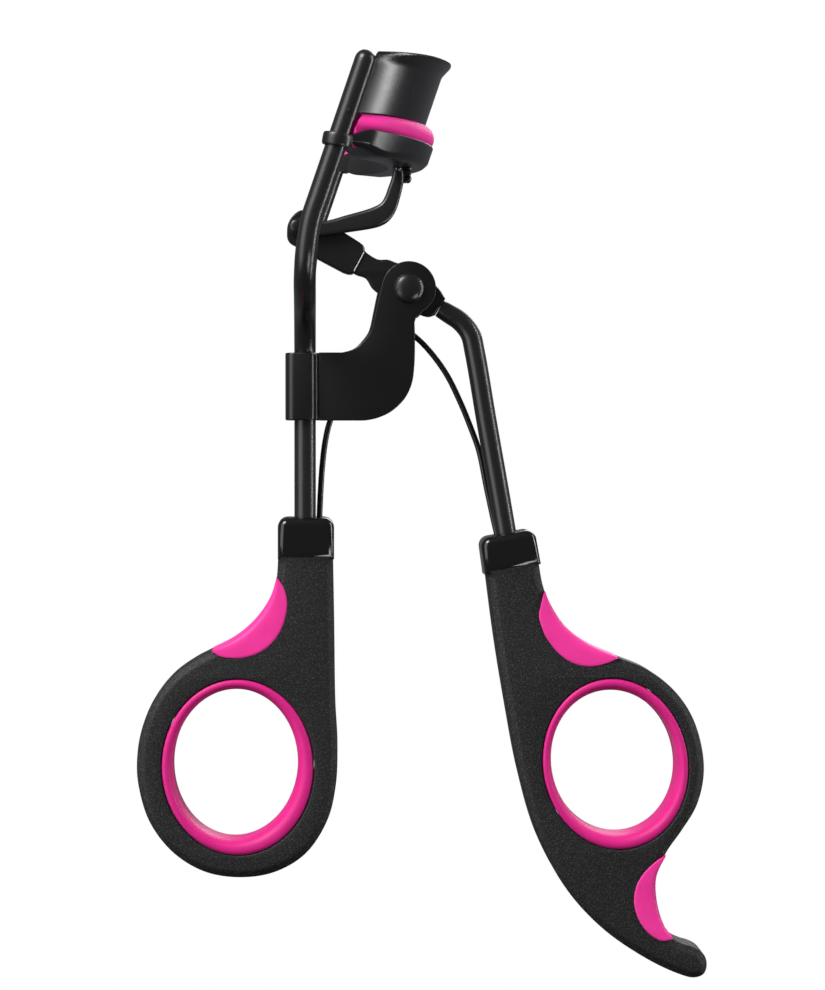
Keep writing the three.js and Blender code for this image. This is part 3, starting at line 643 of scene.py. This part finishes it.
hub = loop(
    [[-6.6, 1.75], [-5.52, 1.36], [-4.7, 0.12], [-3.87, -0.6], [-2.2, -1.8], [-0.4, -2.6],
     [1.3, -3.25], [2.6, -3.6], [3.45, -3.35]],
    [[3.45, -3.35], [4.75, -1.25]],
    [[4.75, -1.25], [4.1, -0.2], [3.1, 0.9], [1.8, 2.2], [0.3, 2.9], [-1.5, 3.35], [-2.64, 3.76],
     [-3.87, 3.78], [-5.11, 4.45], [-6.1, 5.3]],
    [[-6.1, 5.3], [-6.9, 5.0]], [[-6.9, 5.0], [-8.1, 2.5]], [[-8.1, 2.5], [-6.6, 1.75]], step=0.25)
plate("lever_hub", hub, rounded(1.0, 0.3, 4), SHEET, "lever", keep=0.3)
arm_path = spline([(4.05, 0, -2.45), (5.2, 0, -3.12), (6.75, 0, -4.15), (8.0, 0, -5.75), (8.6, 0, -8.2),
                   (10.1, 0, -16.95), (11.6, 0, -25.4), (12.95, 0, -33.2)], 0.4)
arm_radii = [ROD - NECK * math.exp(-i / NECK_POINTS) for i in range(len(arm_path))]
tube("arm", arm_path, arm_radii, METAL, "lever", ["lever_arm"], caps=(False, False))

# ---- pivot bracket --------------------------------------------------------------------------

COLLAR_HALF, COLLAR_Z = 4.32, -12.63
HEAD_R = 3.48  # the round end of the cheeks
CHEEK_Y, CHEEK_HALF = 2.1, 0.4
FAR_SHIFT = 0.25  # the far cheek's inner edge shows this far past the near one's
WASHER_IN, WASHER_OUT = 1.26, 1.6  # the washers' two faces, between the hub and the cheeks

wrap_far = [[-15.87, 0], [-15.87, 1.2], [-15.85, 2.3], [-15.6, 3.1], [-15.1, 3.5], [-14.3, 3.62],
            [-13.2, 3.64], [-12.62, 3.58], [-12.3, 3.38], [-12.08, 3.0], [-11.98, 2.68],
            [-11.82, 2.46], [-11.3, 2.42]]
wrap_near = [[x, -y] for x, y in wrap_far[::-1]]
wrap = loop(wrap_near, wrap_far, [wrap_far[-1], wrap_near[0]], step=0.12)
plate("collar", wrap, rounded(COLLAR_HALF, 0.16, 3), SHEET, "frame", y0=COLLAR_Z,
      sharp=50, place=at)
head = [[HEAD_R * math.cos(a), HEAD_R * math.sin(a)] for a in np.radians(np.linspace(165, -60, 16))]
cheek = loop(
    [[-11.52, -8.25], [-8.6, -8.25]],
    [[-8.6, -8.25], [-7.6, -8.0], [-6.56, -7.5], [-5.6, -6.5], [-4.9, -5.5], [-4.6, -4.6]],
    [[-4.6, -4.6], [-3.72, -0.4], [-3.5, 0.4]] + head + [[1.38, -3.5], [0.95, -3.75], [0.72, -4.4]],
    [[0.72, -4.4], [0.77, -6.48], [0.69, -9.99], [0.35, -12.3], [-0.57, -14.2], [-2.23, -15.8],
     [-3.87, -16.6], [-5.53, -16.95], [-6.3, -16.97]],
    [[-6.3, -16.97], [-11.52, -16.97]],
    [[-11.52, -16.97], [-11.52, -8.25]], step=0.25)
inner_edge = (cheek[:, :1] < -2.5) * (cheek[:, 1:] > -7.9)
far_cheek = cheek - np.array([FAR_SHIFT, 0]) * inner_edge
for (side, label), outline, nodes in zip(SIDES, (cheek, far_cheek), (["pivot_bracket"], [])):
    plate(f"cheek_{label}", outline, rounded(CHEEK_HALF, 0.12, 3), SHEET, "frame", nodes,
          y0=side * CHEEK_Y)
lathe("pivot_rivet", (0, 0), rivet(1.95, 0.85, -2.55, 2.55, 1.1), METAL, "frame",
      ["pivot_pin"])
for side, label in SIDES:
    a, b = side * WASHER_IN, side * WASHER_OUT
    lathe(f"washer_{label}", (0, 0), [(1.22, a), (2.0, a), (2.05, (a + b) / 2), (2.0, b), (1.22, b)],
          STEEL, "frame", [f"pivot_washer_{label}"], closed=True)

# ---- return spring --------------------------------------------------------------------------

spring_path = spline([
    (-11.6, 0, -32.8), (-11.5, 0, -29.5), (-11.35, 0, -26.1), (-11.1, 0, -22.5), (-10.7, 0, -19.4),
    (-10.1, 0, -17.0), (-8.2, 0, -13.0), (-6.0, 0, -9.1), (-3.9, 0, -5.9), (-1.7, 0, -4.5),
    (0.89, 0.05, -6.14), (2.87, 0.15, -8.12), (4.98, 0.4, -11.03), (6.83, 0.9, -14.73),
    (8.15, 1.35, -17.9), (9.21, 1.7, -20.8), (10.3, 1.85, -26.0), (11.5, 1.85, -31.4),
    (12.0, 1.85, -33.2)], 0.4)
spring = tube("bow_spring", spring_path, 0.38, SPRING, None, ["return_spring"], sides=18)
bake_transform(spring)

# ---- ferrules, handles and soft inserts -----------------------------------------------------

NEAR_FACE = DISTANCE / (DISTANCE - HANDLE_HALF)  # how much larger the handles' near face looks
FERRULE_R = 1.3
CORNER_KEEP = 1.2  # the handles' bevel fades out this close to a corner of the outline


def near(points):
    """Outline points taken on the handles' near face, drawn in to their true size."""
    return [[EYE_X + (x - EYE_X) / NEAR_FACE, EYE_Z + (z - EYE_Z) / NEAR_FACE] for x, z in points]


def arc_corner(corner, before, after, r, n=9):
    """Points of a true arc of radius r that rounds a corner between two straight sides."""
    corner, before, after = (np.array(q, float) for q in (corner, before, after))
    a = (before - corner) / np.linalg.norm(before - corner)
    b = (after - corner) / np.linalg.norm(after - corner)
    half = math.acos(a @ b) / 2
    middle_way = (a + b) / np.linalg.norm(a + b)
    centre = corner + middle_way * r / math.sin(half)
    start = corner + a * r / math.tan(half) - centre
    end = corner + b * r / math.tan(half) - centre
    t0, t1 = math.atan2(start[1], start[0]), math.atan2(end[1], end[0])
    t1 += 2 * math.pi * round((t0 - t1) / (2 * math.pi))
    return [centre + r * np.array([math.cos(t), math.sin(t)]) for t in np.linspace(t0, t1, n)]


# (inset, y) from the middle of a side to the face
FERRULE_EDGE = [(0.0, 2.8), (0.04, 3.1), (0.15, 3.38), (0.35, 3.62), (0.62, 3.78), (0.88, 3.85),
                (1.1, 3.86)]
HANDLE_EDGE = [(0.0, 2.7), (0.03, 2.86), (0.12, 3.0), (0.3, 3.14), (0.62, 3.38), (0.78, 3.49),
               (0.92, 3.56), (1.1, HANDLE_HALF)]
FERRULE_RINGS = both_faces(FERRULE_EDGE[::-1])
HANDLE_RINGS = both_faces(HANDLE_EDGE[::-1])
SEAT_RINGS = rounded(HANDLE_HALF, 0.22, 3)


def ferrule(name, low_left, low_right, up_right, up_left, body, node):
    """A glossy collar on a handle: the two upper corners are well rounded."""
    ring = [low_left, low_right]
    ring += arc_corner(up_right, low_right, up_left, FERRULE_R)
    ring += arc_corner(up_left, up_right, low_left, FERRULE_R)
    plate(name, np.array(near(ring)), FERRULE_RINGS, GLOSS, body, [node], sharp=60)


def handle(name, outline, top_right, top_left, seat, body, node):
    """A moulded handle with a hole for the ring lining. The outline runs from its upper left to its
    upper right, and its top lies hidden inside the ferrule."""
    shape = loop(near(outline), near([outline[-1], top_right]), near([top_right, top_left]),
                 near([top_left, outline[0]]))
    plate(name, shape, HANDLE_RINGS, MATTE, body, [node], holes=[oval(*seat)],
          hole_rings=SEAT_RINGS, keep=CORNER_KEEP)


def ring_grip(name, seat, hole, body, node):
    """The soft lining of a finger hole: its faces swell a little and roll over into the hole."""
    half = [(0.0, 0.0), (0.0, 3.0), (0.02, 3.42), (0.10, 3.56), (0.24, 3.66), (0.42, 3.68),
            (0.60, 3.58), (0.76, 3.34), (0.90, 2.92), (0.98, 2.3), (1.0, 1.5), (1.0, 0.0)]
    section = half + [(s, -y) for s, y in half[-2:0:-1]]
    slack = 0.04
    cx, cz, rx, rz, tilt = seat
    outer = oval(cx, cz, rx - slack, rz - slack, tilt)
    inner = oval(*hole)
    verts, faces = [], []
    n = len(section)
    for o, i in zip(outer, inner):
        verts += [at(o[0] + (i[0] - o[0]) * s, y, o[1] + (i[1] - o[1]) * s) for s, y in section]
    for k in range(len(outer)):
        faces += strip(k * n, (k + 1) % len(outer) * n, n)
    return make(name, verts, faces, PINK_RING_SHADED, body, [node], sharp=60)


def even(points, n):
    """n points spaced evenly along the smooth curve through points."""
    p = np.array(spline(points, 0.1))
    d = np.concatenate([[0], np.cumsum(np.linalg.norm(np.diff(p, axis=0), axis=1))])
    t = np.linspace(0, d[-1], n)
    return np.stack([np.interp(t, d, p[:, 0]), np.interp(t, d, p[:, 1])], 1)


def soft_rest(name, sides, body, node, n=72):
    """A crescent of soft moulding let into a handle: it stands a little proud and is slightly dished."""
    outer, inner = (even(near(run), n) for run in sides)
    finger = [(0.0, 0.0), (0.0, 1.6), (0.0, 2.8), (0.05, 3.1), (0.18, 3.38), (0.4, 3.58), (0.75, 3.69),
              (1.6, 3.67)]
    joint = [(0.0, 0.0), (0.0, 1.6), (0.0, 3.0), (0.0, 3.5), (0.02, 3.63), (0.1, 3.68), (0.4, 3.71),
             (1.6, 3.68)]
    over, full = 0.05, 3.4  # it reaches this far past its outline, and narrows where less wide than full
    verts, faces = [], []
    for a, b in zip(outer, inner):
        wide = np.linalg.norm(b - a)
        way = (b - a) / max(wide, 1e-6)
        size = min(1, wide / full)
        half = [(a - way * over + way * s * size, y) for s, y in finger]
        half += [(b + way * over - way * s * size, y) for s, y in joint[:0:-1]]
        ring = half + [(b + way * over, 0.0)] + [(q, -y) for q, y in half[:0:-1]]
        verts += [at(q[0], y, q[1]) for q, y in ring]
        m = len(ring)
    for i in range(n - 1):
        faces += strip(i * m, (i + 1) * m, m)
    faces += [tuple(range(m)), tuple(range((n - 1) * m, n * m))]
    return make(name, verts, faces, PINK, body, [node], sharp=70)


FRAME_SIDE = [[-16.86, -34.96], [-17.08, -37.53], [-17.92, -40.16], [-19.91, -43.02], [-22.45, -45.18],
              [-25.35, -46.68], [-27.63, -47.87], [-30.42, -49.9], [-32.94, -53.09], [-34.57, -57.17],
              [-35.13, -61.03], [-34.92, -64.29], [-33.49, -68.96], [-30.5, -72.9], [-26.45, -75.41],
              [-21.86, -76.19], [-17.29, -75.51], [-13.31, -73.13], [-10.49, -68.81], [-9.39, -64.25],
              [-9.17, -58.77], [-9.45, -52.99], [-9.58, -43.34], [-9.72, -34.97]]
LEVER_SIDE = [[10.25, -37], [11.35, -45.31], [12.75, -53.86], [14.47, -62.82], [16.9, -71.1],
              [20.6, -77.93], [25.33, -83.1], [31.02, -87.05], [35.3, -89.1], [37.3, -89.6],
              [38.55, -89.15], [38.97, -88.12], [38.8, -86.95], [38.1, -86.05], [37.04, -85.5],
              [35.9, -85.15], [34.6, -84.5], [33.42, -82.95], [32.4, -79.83], [32.25, -76.4],
              [33.7, -73.15], [35.58, -70.48], [37.54, -67.28], [38.49, -63.64], [38.38, -60.06],
              [37.02, -55.51], [34.62, -52.04], [31.17, -49.34], [27.14, -47.66], [23.34, -45.95],
              [20.25, -43.53], [18.4, -40.71], [17.5, -38.34], [16.98, -35.6]]
# each soft rest: its finger side along the handle's outline, then its inner side, from the same tip
FRAME_REST = (
    [[-17, -37.3], [-17.92, -40.16], [-19.91, -43.02], [-22.45, -45.18], [-25.45, -46.74]],
    [[-17, -37.3], [-16.2, -38.53], [-15.8, -39.87], [-15.74, -40.96], [-16.16, -43.12],
     [-17.1, -45.01], [-18.72, -46.62], [-20.61, -47.44], [-22.5, -47.66], [-24.4, -47.39],
     [-25.45, -46.74]])
LEVER_REST = (
    [[17.72, -39.1], [18.4, -40.71], [20.25, -43.53], [23.34, -45.95], [27.3, -47.74]],
    [[17.72, -39.1], [17.18, -41.1], [16.98, -42.34], [17.31, -43.59], [18, -45.2], [19.7, -47.3],
     [21.54, -48.46], [23.61, -48.85], [25.68, -48.46], [27.3, -47.74]])
TAIL_REST = (
    [[33.5, -73.5], [32.3, -76.4], [32.42, -79.83], [33.42, -82.95], [34.45, -84.35]],
    [[33.5, -73.5], [32, -74.5], [30.55, -75.96], [29.66, -77.58], [29.4, -79.65], [30.1, -82.02],
     [31.4, -83.7], [33, -84.6], [34.45, -84.35]])
# the finger holes as ellipses (x, z, half width, half height, tilt): in the handle, and in the lining
FRAME_SEAT, FRAME_HOLE = (-21.98, -61.45, 9.78, 11.32, 2), (-22.31, -61.13, 8.01, 9.64, -2)
LEVER_SEAT, LEVER_HOLE = (26.6, -61.22, 9.42, 11.09, 10), (26.49, -61.05, 8.08, 9.36, 13)

ferrule("ferrule_frame", (-16.9, -34.95), (-9.6, -34.95), (-9.6, -29.5), (-16.9, -29.5), "frame",
        "frame_ferrule")
ferrule("ferrule_lever", (9.95, -36.98), (17.25, -35.6), (16.4, -30.95), (9.3, -32.25), "lever",
        "lever_ferrule")
handle("handle_frame", FRAME_SIDE, [-9.79, -34.2], [-16.78, -34.2], FRAME_SEAT, "frame", "frame_handle")
handle("handle_lever", LEVER_SIDE, [16.75, -34.9], [10.0, -36.2], LEVER_SEAT, "lever", "lever_handle")
ring_grip("ring_frame", FRAME_SEAT, FRAME_HOLE, "frame", "frame_ring_grip")
ring_grip("ring_lever", LEVER_SEAT, LEVER_HOLE, "lever", "lever_ring_grip")
soft_rest("rest_frame", FRAME_REST, "frame", "frame_thumb_rest")
soft_rest("rest_lever", LEVER_REST, "lever", "lever_upper_rest")
soft_rest("rest_tail", TAIL_REST, "lever", "lever_tail_rest")

# ---- stage, light and camera ----------------------------------------------------------------

FLOOR_GAP = 0.0004  # the floor lies this far below the part, in metres
FLOOR_HALF = 3
SENSOR_MM = 36
VIEW_MM = 128.07  # the height of the picture at the aim point

scene = bpy.context.scene
scene.view_settings.view_transform = "Standard"
world = bpy.data.worlds.new("studio")
scene.world = world
world.use_nodes = True
wt = world.node_tree
back = wt.nodes["Background"]
back.inputs["Color"].default_value = (0.9, 0.92, 1.0, 1)
back.inputs["Strength"].default_value = 0.16
# the camera sees plain white, and the part is lit by the dim background
white = wt.nodes.new("ShaderNodeBackground")
white.inputs["Color"].default_value = (1, 1, 1, 1)
white.inputs["Strength"].default_value = 1.0
mix = wt.nodes.new("ShaderNodeMixShader")
rays = wt.nodes.new("ShaderNodeLightPath")
wt.links.new(rays.outputs["Is Camera Ray"], mix.inputs[0])
wt.links.new(back.outputs[0], mix.inputs[1])
wt.links.new(white.outputs[0], mix.inputs[2])
wt.links.new(mix.outputs[0], wt.nodes["World Output"].inputs[0])


def area(name, where, target, size, power):
    """A white rectangular lamp at where that faces target."""
    light = bpy.data.lights.new(name, "AREA")
    light.shape = "RECTANGLE"
    light.size, light.size_y = size
    light.energy = power
    lamp = bpy.data.objects.new(name, light)
    scene.collection.objects.link(lamp)
    lamp.location = where
    lamp.rotation_euler = (Vector(target) - Vector(where)).to_track_quat("-Z", "Y").to_euler()


area("key_high", (-0.45, -0.42, 0.62), (0, 0, 0.0), (0.35, 0.35), 9)
area("strip_left", (-0.50, -0.38, 0.05), (0, 0, 0.0), (0.45, 0.8), 3.2)
area("strip_right", (0.60, -0.078, 0.0), (0, 0, 0.0), (0.075, 0.95), 4.6)
area("rim_back", (0.25, 0.55, 0.35), (0, 0, 0.0), (0.5, 0.4), 2.5)
area("low_front", (0.45, -0.55, -0.45), (0, 0, -0.02), (0.3, 0.3), 2.8)

floor_mesh = bpy.data.meshes.new("floor")
z = CAD_LO.z - FLOOR_GAP
corners = [(-FLOOR_HALF, -FLOOR_HALF, z), (FLOOR_HALF, -FLOOR_HALF, z), (FLOOR_HALF, FLOOR_HALF, z),
           (-FLOOR_HALF, FLOOR_HALF, z)]
floor_mesh.from_pydata(corners, [], [(0, 1, 2, 3)])
floor_mat = bpy.data.materials.new("floor")
floor_mat.use_nodes = True
ft = floor_mat.node_tree
ft.nodes.remove(ft.nodes["Principled BSDF"])
glow = ft.nodes.new("ShaderNodeEmission")
glow.inputs["Strength"].default_value = 1.0
ft.links.new(glow.outputs[0], ft.nodes["Material Output"].inputs[0])
floor_mesh.materials.append(floor_mat)
floor = bpy.data.objects.new("floor", floor_mesh)
scene.collection.objects.link(floor)
floor.visible_diffuse = False
floor.visible_glossy = False

cam_data = bpy.data.cameras.new("camera")
cam = bpy.data.objects.new("camera", cam_data)
scene.collection.objects.link(cam)
scene.camera = cam
cam.location = at(EYE_X, -DISTANCE, EYE_Z)
aim = at(0.53, 0, -26.6)
cam.rotation_mode = "QUATERNION"
cam.rotation_quaternion = (aim - cam.location).to_track_quat("-Z", "Y")
cam_data.lens = SENSOR_MM * (aim - cam.location).length / (VIEW_MM * MM)
cam_data.clip_start, cam_data.clip_end = 0.01, 20
